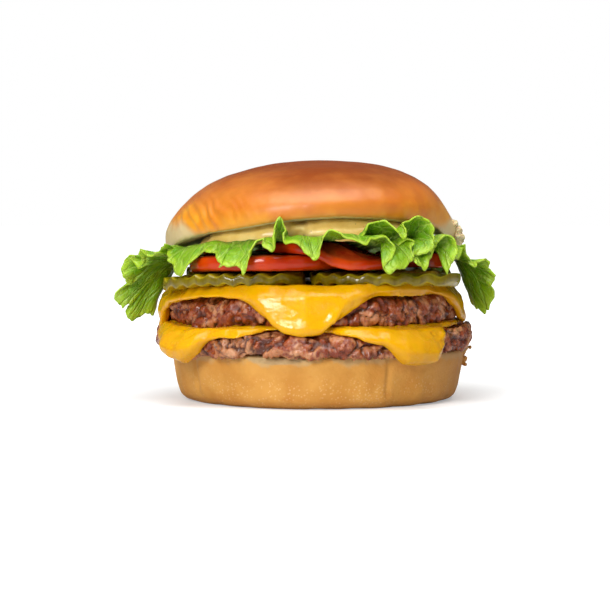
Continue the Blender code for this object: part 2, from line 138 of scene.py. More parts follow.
class Finish:
    """A material: one Principled shader and the patterns that feed it, read mostly at Object coordinates."""

    def __init__(self, name, **sockets):
        self.material = bpy.data.materials.new(name)
        self.material.use_nodes = True
        self.tree = self.material.node_tree
        self.shader = self.tree.nodes["Principled BSDF"]
        self.place = self.node("ShaderNodeTexCoord").outputs["Object"]
        for socket, value in sockets.items():
            self.feed(socket.replace("_", " ").title().replace("Ior", "IOR"), value)

    def feed(self, socket, value):
        """Sets one of the shader's sockets, or links it."""
        self.join(self.shader.inputs[socket], value)

    def join(self, socket, value):
        """Links a socket to another one, or sets it to a value."""
        if isinstance(value, bpy.types.NodeSocket):
            self.tree.links.new(value, socket)
        else:
            socket.default_value = value

    def node(self, kind, settings=(), **inputs):
        """A new node; an input is given by its name, or by its number after an underscore."""
        made = self.tree.nodes.new(kind)
        for setting, value in dict(settings).items():
            setattr(made, setting, value)
        for name, value in inputs.items():
            number = name[1:]
            self.join(made.inputs[int(number) if number.isdigit() else name], value)
        return made

    def noted(self, name):
        """A number noted on the mesh's points."""
        return self.node("ShaderNodeAttribute", {"attribute_name": name}).outputs["Fac"]

    def noise(self, size, detail=3.0, place=None, warp=0.0):
        made = self.node("ShaderNodeTexNoise", Vector=place or self.place, Scale=1 / size, Detail=detail,
                         Roughness=0.55, Distortion=warp)
        return made.outputs["Fac"]

    def cells(self, size, feature="F1", place=None):
        made = self.node("ShaderNodeTexVoronoi", {"feature": feature}, Vector=place or self.place,
                         Scale=1 / size)
        return made.outputs["Distance"]

    def stretched(self, scale, place=None):
        made = self.node("ShaderNodeMapping", Vector=place or self.place, Scale=scale)
        return made.outputs["Vector"]

    def along(self, axis):
        """How far a place lies along the X or Z axis."""
        return self.node("ShaderNodeSeparateXYZ", Vector=self.place).outputs[axis]

    def facing_up(self):
        """1 where the surface faces up, 0 on a side and -1 where it faces down."""
        normal = self.node("ShaderNodeNewGeometry").outputs["Normal"]
        return self.node("ShaderNodeSeparateXYZ", Vector=normal).outputs["Z"]

    def span(self, value, low, high, start=0.0, end=1.0):
        """The value's way from low to high as a share, eased, and turned into start to end."""
        made = self.node("ShaderNodeMapRange", {"interpolation_type": "SMOOTHSTEP"}, Value=value)
        for name, number in (("From Min", low), ("From Max", high), ("To Min", start), ("To Max", end)):
            made.inputs[name].default_value = number
        return made.outputs["Result"]

    def maths(self, operation, a, b=0.0):
        return self.node("ShaderNodeMath", {"operation": operation}, _0=a, _1=b).outputs["Value"]

    def mix(self, share, a, b):
        """Colour a where the share is 0, and b where it is 1."""
        return self.node("ShaderNodeMix", {"data_type": "RGBA"}, _0=share, _6=a, _7=b).outputs[2]

    def bump(self, height, distance, under=None):
        made = self.node("ShaderNodeBump", Height=height, Distance=distance, Strength=1.0)
        if under is not None:
            self.join(made.inputs["Normal"], under)
        return made.outputs["Normal"]


def serve(piece, finish, slot, *nodes):
    """Dresses a finished piece, lets it ride on the burger, and lets it stand for its CAD nodes."""
    piece.data.materials.clear()
    piece.data.materials.append(finish.material)
    piece.data.shade_smooth()
    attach(piece, "root")
    if nodes:
        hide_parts(*nodes)


HEEL_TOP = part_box("heel")[1].z
TORN_MIDDLE, TORN_WIDTH = -16, 11
# Creases pinched into the side: azimuth in degrees, depth in millimetres, and width in degrees
CREASES = ((-58, 1.1, 1.7), (28, 0.8, 1.4), (140, 0.9, 1.7), (-150, 0.8, 1.5), (88, 0.7, 1.4))


def heel_crust(place, normal):
    """The heel's fine relief: soft swells, torn crumb at the cut and a few pinched creases."""
    azimuth = azimuth_of(place)
    depth = (HEEL_TOP - place.z) / MM
    front = bell(azimuth, TORN_MIDDLE, TORN_WIDTH)
    band = (0.9 + 3.0 * front) * (1 + 0.6 * lump(place, 5 * MM, 4))
    ragged = (1 - rise(0.5 * band, 1.3 * band, depth)) * (1 - 0.6 * abs(normal.z))
    move = 0.35 * MM * lump(place, 9 * MM, 1) + 0.05 * MM * lump(place, 1.3 * MM, 2)
    move += ragged * (0.5 * MM * lump(place, 1.7 * MM, 3) + 0.3 * MM * lump(place, 0.8 * MM, 6) - 0.1 * MM)
    for side, deep, wide in CREASES:
        move -= deep * MM * bell(azimuth, side, wide) * rise(1 * MM, 7 * MM, place.z) * (1 - abs(normal.z))
    if normal.z < -0.3:
        move = min(move, place.z - 0.02 * MM)
    return move, ragged * (0.35 + 0.65 * front)


heel = copy_of("heel", "heel_bread")
fine_skin(heel, 0.7 * MM, 12)
pushed(heel, heel_crust, note="ragged")
for point in heel.data.vertices:
    point.co.z = max(point.co.z, 0.0)

bread = Finish("heel_crust", roughness=0.7, subsurface_weight=0.15, subsurface_scale=1.2 * MM)
bread.feed("Subsurface Radius", (1.0, 0.55, 0.25))
up = bread.along("Z")
baked = bread.mix(bread.span(bread.noise(12 * MM, 4), 0.35, 0.68), tint(218, 158, 70), tint(202, 138, 50))
toast = bread.span(bread.noise(5.5 * MM, 4, place=bread.stretched((1, 1, 1.9))), 0.56, 0.74, 0, 0.5)
skin = bread.mix(toast, baked, tint(205, 132, 46))
dots = bread.maths("MULTIPLY", bread.span(bread.cells(1.0 * MM), 0.4, 0.2), bread.span(up, 13 * MM, 7 * MM))
dots = bread.maths("MULTIPLY", dots, bread.span(bread.noise(8 * MM, 2), 0.38, 0.6, 0, 0.28))
skin = bread.mix(dots, skin, tint(246, 214, 152))
pale = bread.mix(bread.noise(3 * MM, 4), tint(214, 184, 130), tint(192, 156, 100))
edge = bread.maths("ADD", up, bread.span(bread.noise(6 * MM, 4), 0.2, 0.8, -2 * MM, 2 * MM))
skin = bread.mix(bread.span(edge, HEEL_TOP - 4 * MM, HEEL_TOP - 1.5 * MM, 0, 0.8), skin, pale)
torn = bread.mix(bread.noise(1.6 * MM, 3), tint(208, 180, 132), tint(168, 130, 78))
skin = bread.mix(bread.span(bread.noted("ragged"), 0.1, 0.55), skin, torn)
skin = bread.mix(bread.span(up, 0.0, 5 * MM, 0.4, 0.0), skin, tint(176, 112, 44))
# Painted shade: the heel is tinted browner towards its right side, where it lies in shade
browner = bread.span(bread.along("X"), 30 * MM, 50 * MM, 0, 0.6)
skin = bread.mix(browner, skin, tint(158, 98, 34))
bread.feed("Base Color", skin)
grain = bread.bump(bread.noise(0.9 * MM, 3), 0.14 * MM)
bread.feed("Normal", bread.bump(bread.noise(3.2 * MM, 3), 0.25 * MM, grain))
serve(heel, bread, "heel", "heel")


def torn_bits(name, spots, seed):
    """Scraps torn off the bread: small balls at these places, pulled ragged."""
    bits = []
    for spot, size in spots:
        bpy.ops.object.select_all(action="DESELECT")
        bpy.ops.mesh.primitive_ico_sphere_add(subdivisions=4, radius=size * MM, location=Vector(spot) * MM)
        bits.append(bpy.context.object)
    for bit in bits:
        bit.select_set(True)
    bpy.ops.object.join()
    piece = bpy.context.object
    piece.name = piece.data.name = name
    bpy.ops.object.transform_apply(location=True)
    shape(piece, "REMESH", mode="VOXEL", voxel_size=0.22 * MM)

    def ragged(place, normal):
        return 0.8 * MM * lump(place, 1.5 * MM, seed) + 0.35 * MM * lump(place, 0.6 * MM, seed)

    pushed(piece, ragged)
    return piece


# Middles and radii of the balls, in millimetres
HEEL_SCRAPS = (
    ((49.6, -4.0, 17.2), 1.5), ((51.0, -3.5, 17.4), 1.0), ((52.2, -3.2, 17.8), 0.8),
    ((49.8, -1.0, 16.4), 1.4), ((49.9, -5.0, 13.6), 1.3), ((50.6, -5.2, 11.8), 0.8),
    ((49.4, -8.0, 16.6), 1.2),
)
scraps = torn_bits("torn_heel_scraps", HEEL_SCRAPS, 14)
serve(scraps, bread, "heel")


# Patties
# Ground beef smashed on a hot griddle: a craggy rim of torn clumps parted by winding cracks, seared
# reddish brown with paler patches, with painted shade in the cracks, and shiny with fat. The rim sags over
# what carries it.

def meat_crags(seed, swell):
    """A patty's relief: torn clumps parted by winding cracks, with how high each point lies."""
    def crags(place, normal):
        drift = Vector([lump(place, 3 * MM, seed + step) for step in (0, 5, 9)])
        crack = 1 - rise(0.0, 0.2, abs(lump(place + 1.6 * MM * drift, 5.5 * MM, seed + 3)))
        split = 1 - rise(0.0, 0.22, abs(lump(place + 1.2 * MM * drift, 2.7 * MM, seed + 7)))
        broad, ragged = lump(place, 7 * MM, seed + 2), lump(place, 1.5 * MM, seed + 4)
        move = 1.2 * MM * broad - 1.3 * MM * crack - 0.6 * MM * split + swell
        move += 0.4 * MM * ragged + 0.25 * MM * lump(place, 0.8 * MM, seed + 6)
        move += 0.9 * MM * bell(azimuth_of(place), 88, 22)
        side = 1 - 0.8 * rise(0.9, 0.99, abs(normal.z))
        return move * side, 0.75 - 0.5 * crack - 0.25 * split + 0.3 * broad + 0.15 * ragged
    return crags


def sag(piece, rows, inner, outer, low=-9):
    """Lets a rim sag between two distances from the middle, but not what hangs below low."""
    for point in piece.data.vertices:
        azimuth = azimuth_of(point.co)
        drop = sum(deep * bell(azimuth, middle, wide) for middle, wide, deep in rows)
        drop *= rise(low * MM, (low + 7) * MM, point.co.z)
        point.co.z -= drop * MM * rise(inner * MM, outer * MM, math.hypot(point.co.x, point.co.y))


# Where the layers sag: azimuth and width in degrees, and drop in millimetres
LOWER_SAG = ((12, 22, 1.9), (-22, 14, 0.7), (-54, 20, 1.7), (46, 18, 1.9))
UPPER_SAG = ((-54, 24, 2.9), (46, 24, 2.3))
SLICE_SAG = ((-54, 20, 1.7), (46, 20, 1.3))
SHOULDER_SAG = ((-74, 22, 2.6), (74, 20, 1.2))
meat = Finish("seared_beef", subsurface_weight=0.15, subsurface_scale=1.0 * MM, specular_ior_level=0.6)
meat.feed("Subsurface Radius", (1.0, 0.35, 0.2))
lie = meat.noted("lie")
cooked = meat.mix(meat.span(meat.noise(5 * MM, 4), 0.38, 0.64), tint(180, 112, 68), tint(202, 144, 102))
seared = meat.mix(meat.span(meat.noise(2.6 * MM, 4), 0.4, 0.62), tint(122, 46, 16), tint(158, 74, 32))
flesh = meat.mix(meat.span(meat.noise(8.5 * MM, 4, warp=0.8), 0.46, 0.58), seared, cooked)
flesh = meat.mix(meat.span(meat.noise(1.3 * MM, 3), 0.56, 0.72, 0, 0.3), flesh, tint(200, 150, 112))
# Painted shade: points lying low in the cracks are darkened towards a deep brown
flesh = meat.mix(meat.span(lie, 0.6, 0.15, 0, 0.9), flesh, tint(76, 30, 14))
charred = meat.noise(7 * MM, 3, place=meat.stretched((1, 1, 1.8)), warp=0.5)
flesh = meat.mix(meat.span(charred, 0.59, 0.67, 0, 0.75), flesh, tint(72, 30, 20))
meat.feed("Base Color", flesh)
meat.feed("Roughness", meat.span(meat.noise(2.4 * MM, 4), 0.42, 0.62, 0.12, 0.46))
fibres = meat.bump(meat.noise(0.6 * MM, 4), 0.14 * MM)
meat.feed("Normal", meat.bump(meat.noise(1.6 * MM, 3), 0.3 * MM, fibres))
PATTIES = (("lower", 11, 1.2 * MM, LOWER_SAG, 47, 52.5), ("upper", 23, 1.6 * MM, UPPER_SAG, 43, 49))
for layer, seed, swell, rows, inner, outer in PATTIES:
    patty = copy_of(f"patty_{layer}", f"{layer}_patty_meat")
    fine_skin(patty, 0.5 * MM, 2)
    pushed(patty, meat_crags(seed, swell), note="lie")
    sag(patty, rows, inner, outer)
    serve(patty, meat, "patty", f"patty_{layer}")


# Cheese
# Two square slices of processed cheese, laid on the hot meat until they slump: each clings to its
# patty's shoulder, runs down the side in fat uneven tongues, and sets with a smooth gloss.

def at(radius, azimuth, height):
    """The place at this distance and height in millimetres, and at this azimuth in degrees."""
    turn = math.radians(azimuth)
    return Vector((radius * math.sin(turn), -radius * math.cos(turn), height)) * MM


# The skirt that each slice hangs in, all round: azimuth, then low edge, high edge and thickness
LOWER_SKIRT = (
    (-180, 24, 28, 3), (-160, 20, 28, 3), (-145, 16.5, 28, 3.4), (-132, 17, 28, 3.4), (-118, 25, 28, 2.4),
    (-95, 26, 28, 2), (-80, 25.5, 27.8, 2), (-73, 23.4, 28, 2.8), (-67, 20.8, 28.2, 3.4),
    (-57, 19.8, 28.2, 3.8), (-51, 19.6, 28, 4), (-46.5, 20.2, 27.8, 4), (-43, 22, 27.6, 3.8),
    (-39, 23.6, 27.4, 3.4), (-34, 24.4, 27.4, 3), (-29, 23.8, 27.4, 2.8), (-24, 25, 27.4, 2.2),
    (-18, 26.2, 27.4, 1.4), (-6, 26.4, 27.4, 1.4), (4, 25.6, 27.4, 1.6), (14, 24.4, 27.4, 2.4),
    (18.5, 22.8, 27.4, 2.6), (24, 21.8, 27.4, 3), (28, 20.6, 27.4, 3.4), (31, 19, 27.4, 3.6),
    (34, 17.6, 27.4, 3.8), (37, 17.4, 27.4, 3.8), (39.5, 19, 27.6, 3.6), (43, 20.6, 27.8, 3.8),
    (45.5, 22.6, 28, 3.4), (48.5, 25.6, 27.6, 2.2), (60, 26.2, 27.6, 1.8), (80, 26, 28, 1.8),
    (105, 26, 28, 2), (122, 23, 28, 2.8), (132, 16, 28, 3.4), (146, 17, 28, 3.4), (158, 22, 28, 3),
)
UPPER_SKIRT = (
    (-180, 25.5, 40, 3), (-168, 27, 40, 3), (-155, 33, 40, 2.6), (-140, 32, 40, 2.8), (-128, 28, 40, 3),
    (-115, 31.5, 40, 2.8), (-104, 27, 40, 3), (-96, 23.5, 40, 3.2), (-88, 22.6, 40, 3.2), (-82, 24, 40, 3),
    (-76, 31, 40.4, 2.6), (-70, 33.6, 41, 2.6), (-58, 35.6, 41.2, 2.8), (-46, 36.6, 41.4, 2.8),
    (-36, 37, 41.4, 2.8), (-29, 36.4, 41.4, 2.8), (-23, 35.4, 41.4, 3), (-19, 33.2, 41.4, 3.2),
    (-14, 28, 41.4, 3.8), (-9, 25.4, 41.4, 4.4), (-3, 24.6, 41.4, 4.8), (3, 25, 41.4, 4.6),
    (8, 28.6, 41.4, 4), (12, 33.4, 41.4, 3.2), (17, 37, 41.4, 2.8), (27, 38.6, 41.6, 2.6),
    (40, 39, 41.8, 2.4), (50, 38.8, 41.8, 2.4), (60, 37, 41.4, 2.6), (70, 33.2, 41, 3), (78, 28, 40.4, 3),
    (88, 26.4, 40, 3), (98, 28, 40, 3), (110, 33, 40, 2.8), (128, 35, 40, 2.6), (150, 33.5, 40, 2.8),
    (166, 28, 40, 3),
)


def skirt_row(rows, azimuth):
    """The low edge, high edge and thickness at an azimuth, eased from row to row."""
    rows = (*rows, (rows[0][0] + 360, *rows[0][1:]))
    for before, after in zip(rows, rows[1:]):
        if before[0] <= azimuth <= after[0]:
            share = rise(before[0], after[0], azimuth)
            return [a + (b - a) * share for a, b in zip(before[1:], after[1:])]


def boxy(wave, power):
    """A sine or cosine drawn nearer to 1 and -1, which turns a round section into a boxier one."""
    return math.copysign(abs(wave) ** power, wave)


def hung(rows, radius, middle, seed):
    """A ring whose cross-section is drawn out from the high edge of the rows down to their low edge."""
    bpy.ops.object.select_all(action="DESELECT")
    bpy.ops.mesh.primitive_torus_add(major_segments=480, minor_segments=36, major_radius=1, minor_radius=0.3)
    skirt = bpy.context.object
    for point in skirt.data.vertices:
        azimuth = math.degrees(azimuth_of(point.co))
        swing = math.atan2(point.co.z, math.hypot(point.co.x, point.co.y) - 1)
        low, high, thick = skirt_row(rows, azimuth)
        on_rim = at(radius, azimuth, 0)
        low += 0.5 * lump(on_rim, 4.5 * MM, seed) * rise(1, 5, high - low)
        out = boxy(math.cos(swing), 0.5) * thick / 2
        height = (low + high) / 2 + boxy(math.sin(swing), 0.6) * (high - low) / 2
        bulge = 1.4 * (1 - rise(low + 1, low + 6, height)) * rise(4, 12, high - low)
        inward = 2.6 * rise(high - 4.5, high, height) + 4.0 * (1 - rise(1.6, 2.8, thick))
        spot = at(radius + out + bulge - inward + 0.6 * lump(on_rim, 7 * MM, seed + 2), azimuth, height)
        point.co = spot + Vector((middle, 0, 0))
    return skirt


def melted(node, name, skirt):
    """A copy of a CAD node and the ring that hangs from it, fused and smoothed."""
    piece = copy_of(node, name)
    skirt.select_set(True)
    bpy.ops.object.join()
    fine_skin(piece, 0.6 * MM, 10)
    return piece


def slump(seed, tuck):
    """Slow swells over melted cheese, finer runs downwards, faint pits, and a tuck beside the right drop."""
    def swell(place, normal):
        run = Vector((place.x, place.y, place.z * 0.4))
        move = 0.5 * MM * lump(place, 10 * MM, seed) + 0.32 * MM * lump(run, 3.6 * MM, seed + 3)
        move -= tuck * bell(azimuth_of(place), 51, 5) * (1 - rise(23 * MM, 26 * MM, place.z))
        return move - 0.5 * MM * rise(0.62, 0.8, lump(place, 2.6 * MM, seed + 6))
    return swell


cheese = Finish("melted_cheese", subsurface_weight=0.35, subsurface_scale=2.0 * MM, specular_ior_level=0.35)
cheese.feed("Subsurface Radius", (1.0, 0.6, 0.1))
yellow = cheese.mix(cheese.span(cheese.noise(12 * MM, 3), 0.35, 0.65), tint(230, 172, 0), tint(222, 160, 0))
grease = cheese.span(cheese.noise(2.0 * MM, 3), 0.68, 0.76, 0, 0.3)
# Painted shade: the cheese turns a deeper yellow towards its right side, where it lies in shade
deeper = cheese.span(cheese.along("X"), 10 * MM, 42 * MM, 0, 0.8)
yellow = cheese.mix(deeper, yellow, tint(206, 146, 0))
cheese.feed("Base Color", cheese.mix(grease, yellow, tint(206, 120, 10)))
cheese.feed("Roughness", cheese.span(cheese.noise(6 * MM, 3), 0.4, 0.62, 0.13, 0.28))
cheese.feed("Normal", cheese.bump(cheese.noise(2.4 * MM, 3), 0.22 * MM))
lower_slice = melted("cheese_lower", "lower_cheese_slice", hung(LOWER_SKIRT, 54.9, -1.3 * MM, 33))
pushed(lower_slice, slump(31, 1.8 * MM))
sag(lower_slice, SLICE_SAG, 44, 50, 19)
serve(lower_slice, cheese, "cheese", "cheese_lower")
upper_slice = melted("cheese_upper", "upper_cheese_slice", hung(UPPER_SKIRT, 50.4, -2.2 * MM, 41))
pushed(upper_slice, slump(37, 0))
sag(upper_slice, SHOULDER_SAG, 40, 50, 33)
serve(upper_slice, cheese, "cheese", "cheese_upper")


# Pickles
# Crinkle-cut slices of a pickled cucumber: a dark olive skin round the rim, paler translucent flesh on
# the ridged faces, and wet with brine. They lie on the cheese, and their outer ends droop with it.

brined = Finish("pickle", roughness=0.14, subsurface_weight=0.35, subsurface_scale=1.5 * MM,
                specular_ior_level=0.45)
brined.feed("Subsurface Radius", (0.8, 0.9, 0.25))
flat = brined.span(brined.maths("ABSOLUTE", brined.facing_up()), 0.35, 0.8)
rind = brined.mix(brined.span(brined.noise(3 * MM, 3, place=brined.stretched((1, 1, 0.3))), 0.35, 0.65),
                  tint(104, 88, 0), tint(128, 112, 8))
inner = brined.mix(brined.noise(5 * MM, 3), tint(168, 152, 20), tint(150, 134, 20))
brined.feed("Base Color", brined.mix(flat, rind, inner))
brined.feed("Normal", brined.bump(brined.noise(1.6 * MM, 3), 0.26 * MM))
for place in ("front_left", "front_right", "back_right", "back_left"):
    pickle = copy_of(f"pickle_{place}", f"{place}_pickle_slice")
    fine_skin(pickle, 0.42 * MM, 60)
    sag(pickle, SHOULDER_SAG, 36, 50)
    serve(pickle, brined, "pickle", f"pickle_{place}")


# Tomato
# Round slices of ripe tomato about five millimetres thick: a tight glossy skin round the rim, and wet
# red flesh with pockets of gel on the cut faces. One slice lies half over its neighbour.

ripe = Finish("tomato", roughness=0.2, subsurface_weight=0.3, subsurface_scale=2.0 * MM,
              specular_ior_level=0.4)
ripe.feed("Subsurface Radius", (1.0, 0.25, 0.1))
flat = ripe.span(ripe.maths("ABSOLUTE", ripe.facing_up()), 0.5, 0.85)
peel = ripe.mix(ripe.span(ripe.noise(16 * MM, 3), 0.35, 0.65), tint(188, 46, 0), tint(206, 66, 0))
pulp = ripe.mix(ripe.span(ripe.noise(6 * MM, 3), 0.4, 0.6), tint(186, 64, 22), tint(160, 34, 4))
ripe.feed("Base Color", ripe.mix(flat, peel, pulp))
ripe.feed("Normal", ripe.bump(ripe.noise(3.5 * MM, 3), 0.1 * MM))
HOLLOW, HOLLOW_WIDTH = Vector((3, 22, 46)) * MM, 8 * MM
for place in ("front_left", "front_right", "right", "back"):
    tomato = copy_of(f"tomato_{place}", f"{place}_tomato_slice")
    fine_skin(tomato, 0.6 * MM, 3)
    sag(tomato, SHOULDER_SAG, 36, 50)
    # The back slice sinks into the hollow between the two pickles under it
    if place == "back":
        for point in tomato.data.vertices:
            near = (point.co - HOLLOW).length / HOLLOW_WIDTH
            point.co.z -= 3 * MM * math.exp(-near * near)
    serve(tomato, ripe, "tomato", f"tomato_{place}")


# Lettuce
# Green leaf lettuce: thin leaves laid over the tomato, whose frilled margins run out past the bread,
# fold back on themselves and hang. Pale veins branch through them, and the margin is finely toothed.

LEAF_WALL = 0.9 * MM
# What the leaves lie on: the tomato's low face, the walls of its two layers and the gap between layers
TOMATO_LOW, TOMATO_WALL, UPPER_TOMATO_WALL, GAP = 45.7 * MM, 5.2 * MM, 3.8 * MM, 0.35 * MM
# The leaf lies flat out to the fold, which takes the first quarter of its grid
FOLD, FLAT_SHARE = 45.5 * MM, 0.25
# How far a pattern on the leaf runs from its middle to its margin, and how far its inner part evens out
LEAF_RUN, EVEN_REACH = 24 * MM, 13 * MM
# Margins of the leaves, knot by knot: azimuth in degrees, then in millimetres the distance from the middle,
# the height, and the height that the leaf is drawn towards on its way out
FRONT_LEAF = (
    (-70, 54, 53.5, 53), (-62, 57, 48, 55), (-52, 58, 44, 57), (-48.5, 57, 47.5, 57.5),
    (-46.5, 54, 52, 57.5), (-42.5, 54.5, 52, 56), (-37, 56, 50.5, 55), (-34, 58, 48.5, 55),
    (-34.5, 59, 46.5, 54.5), (-31.5, 57.5, 48, 54.5), (-27.5, 58, 47, 55), (-25.5, 58.5, 45.5, 55),
    (-25, 56, 50.5, 55.5), (-23.5, 54, 55, 56.5), (-21, 53, 56.5, 57), (-19.5, 55, 54, 58.5),
    (-17, 57, 52.5, 59), (-16, 56, 54, 60), (-15.5, 54, 59, 60), (-13.5, 53, 63, 58), (-11.5, 52, 60, 58),
    (-12.5, 53.5, 57.5, 58), (-12, 55.5, 55.5, 58), (-8, 57, 55, 59), (-4.5, 58, 52, 59.5),
    (-2, 58.8, 49.5, 59.5), (0, 57.5, 52, 59), (1.5, 55, 55.5, 59), (5, 53.5, 59, 58.5), (9, 55, 58.5, 59),
    (12, 57, 56.5, 59.5), (15.5, 57.5, 55, 59.5), (19, 55.5, 57, 58.5), (23.5, 54.5, 56.5, 58),
    (25.5, 56, 54, 58), (24.5, 57.5, 50.5, 58), (22, 58.5, 47, 58), (24, 59, 45, 58), (28, 58.5, 47, 58.5),
    (31.5, 58, 49, 59), (33, 56.5, 53, 59), (34, 55, 55.5, 59), (32, 53.5, 56, 58), (30, 52.5, 53.5, 57),
    (28.5, 51.5, 50, 56),
)
TUCKED_LEAF = (
    (15, 51.5, 56.5, 58), (17.5, 52.5, 60, 59), (21, 53.5, 62, 59), (25, 55, 61.5, 60),
    (27.5, 57, 58.5, 61), (29.5, 57.5, 57, 61), (30.5, 55.5, 60.5, 60.5), (32.5, 54.5, 62, 60),
    (38, 54, 63, 60), (42, 55, 62.5, 59.5), (42.5, 57, 58, 59), (41, 58, 53.5, 58), (37, 57.5, 51.5, 58),
    (33, 57, 50, 57), (35, 58, 48, 57), (37.5, 58.5, 46.5, 57), (40.5, 57, 50, 57), (45.5, 55.5, 55, 57),
    (49.5, 55.5, 57, 57), (52, 57, 55.5, 56), (51.5, 58, 51, 55), (47.5, 58.5, 45, 54.5),
    (52.5, 57.5, 48.5, 54), (63, 55, 53, 53.5),
)
LEFT_LEAF = (
    (-67, 56.5, 54, 52), (-71.5, 56, 51.5, 51), (-71, 58.5, 50.5, 50), (-75, 59.5, 49.5, 49.5),
    (-75.5, 62.5, 52, 49.5), (-78, 62.5, 47.5, 49), (-78, 63.5, 45, 49), (-80.5, 65, 47.5, 49),
    (-80.5, 66.5, 49.5, 49), (-82, 67, 46, 49), (-81.5, 67, 42.5, 49), (-83, 65.5, 40.5, 48.5),
    (-84, 64.5, 39.5, 48.5), (-86, 67.5, 38.5, 48.5), (-86.5, 69.3, 35.5, 48.5), (-87, 68.8, 33, 48),
    (-87, 67.5, 31.5, 48), (-88, 65, 32.5, 48), (-90, 66, 30, 48), (-89.5, 66, 28, 48),
    (-91, 64.5, 27, 48), (-92, 60.5, 28, 48), (-96, 58.5, 28, 48), (-102, 59, 32, 49), (-108, 57, 38, 49.5),
    (-112, 59.5, 36, 49.5), (-117, 58, 46, 50), (-126, 57, 54, 50), (-132, 59, 49, 51), (-130, 60, 46, 52),
    (-137, 59, 44.5, 52), (-146, 56, 54, 51), (-152, 57, 50, 51), (-150, 59, 46.5, 52), (-160, 60, 44.5, 52),
    (-166, 56.5, 51, 51.5), (-176, 56, 52, 51.5),
)
RIGHT_LEAF = (
    (62.5, 56, 53.5, 52), (67, 55.5, 49, 50), (66, 58, 46, 49), (70, 57.5, 47.5, 48),
    (71.5, 59.5, 48.5, 47.5), (74, 60, 48.5, 47), (75, 61.5, 47.5, 47), (77, 60, 45.5, 47),
    (78, 62, 43, 47), (80, 60.5, 40, 46.5),
    (81.5, 61.5, 37, 46.5), (83.5, 60, 33.5, 46.5), (84.5, 58.5, 30, 46.5), (86.5, 56.5, 30, 46.5),
    (89, 54, 32, 46.5), (92, 53, 34, 46.5), (97, 53.5, 36, 46.5), (103, 57, 35, 47.5), (109, 57, 42, 48.5),
    (115, 59, 41, 50), (122, 57.5, 52, 51.5), (128, 57, 54, 52), (134, 60, 47, 51), (131, 60.5, 45, 51),
    (141, 59, 47, 51), (150, 56, 54.5, 51), (157, 58.5, 49, 51.5), (155, 60, 45, 52), (165, 60, 44.5, 52),
    (171, 57, 50, 51.5), (179, 56, 52, 51.5),
)


def polar(radius, azimuth):
    """X and Y at this distance from the middle and this azimuth in radians."""
    return radius * math.sin(azimuth), -radius * math.cos(azimuth)


def bed(x, y):
    """Height of the leaf where it lies on the tomato: more where two slices overlap, less at the left."""
    table = TOMATO_LOW + TOMATO_WALL + GAP + 0.5 * LEAF_WALL + 0.05 * MM
    over = rise(-45 * MM, -21 * MM, x) * (1 - rise(8 * MM, 32 * MM, x)) * (1 - rise(6 * MM, 27 * MM, y))
    dip = 3.2 * MM * bell(math.atan2(x, -y), -92, 14) * rise(35 * MM, 45 * MM, math.hypot(x, y))
    return table + (UPPER_TOMATO_WALL + GAP + 0.1 * MM) * over - dip


def margin_walk(knots, steps):
    """Even steps along a smooth margin through the knots: a knot's four values and the inner azimuth."""
    fine = []
    ends = (knots[0], *knots, knots[-1])
    for a, b, c, d in zip(ends, ends[1:], ends[2:], ends[3:]):
        for part in range(12):
            t = part / 12
            fine.append([0.5 * (2 * q + (r - p) * t + (2 * p - 5 * q + 4 * r - s) * t ** 2
                                + (3 * q - p - 3 * r + s) * t ** 3) for p, q, r, s in zip(a, b, c, d)])
    fine.append(list(knots[-1]))
    places = [at(distance, azimuth, height) for azimuth, distance, height, pull in fine]
    lengths = [0.0]
    for before, after in zip(places, places[1:]):
        lengths.append(lengths[-1] + (after - before).length)
    walk, spot = [], 0
    for step in range(steps + 1):
        wanted = lengths[-1] * step / steps
        while spot < len(fine) - 2 and lengths[spot + 1] < wanted:
            spot += 1
        share = min(1.0, (wanted - lengths[spot]) / max(1e-9, lengths[spot + 1] - lengths[spot]))
        walk.append([p + (q - p) * share for p, q in zip(fine[spot], fine[spot + 1])])
    reach = int(steps * EVEN_REACH / lengths[-1])
    for step, spot in enumerate(walk):
        near = walk[max(0, step - reach):step + reach + 1]
        spot.append(sum(other[0] for other in near) / len(near))
    return walk, lengths[-1]


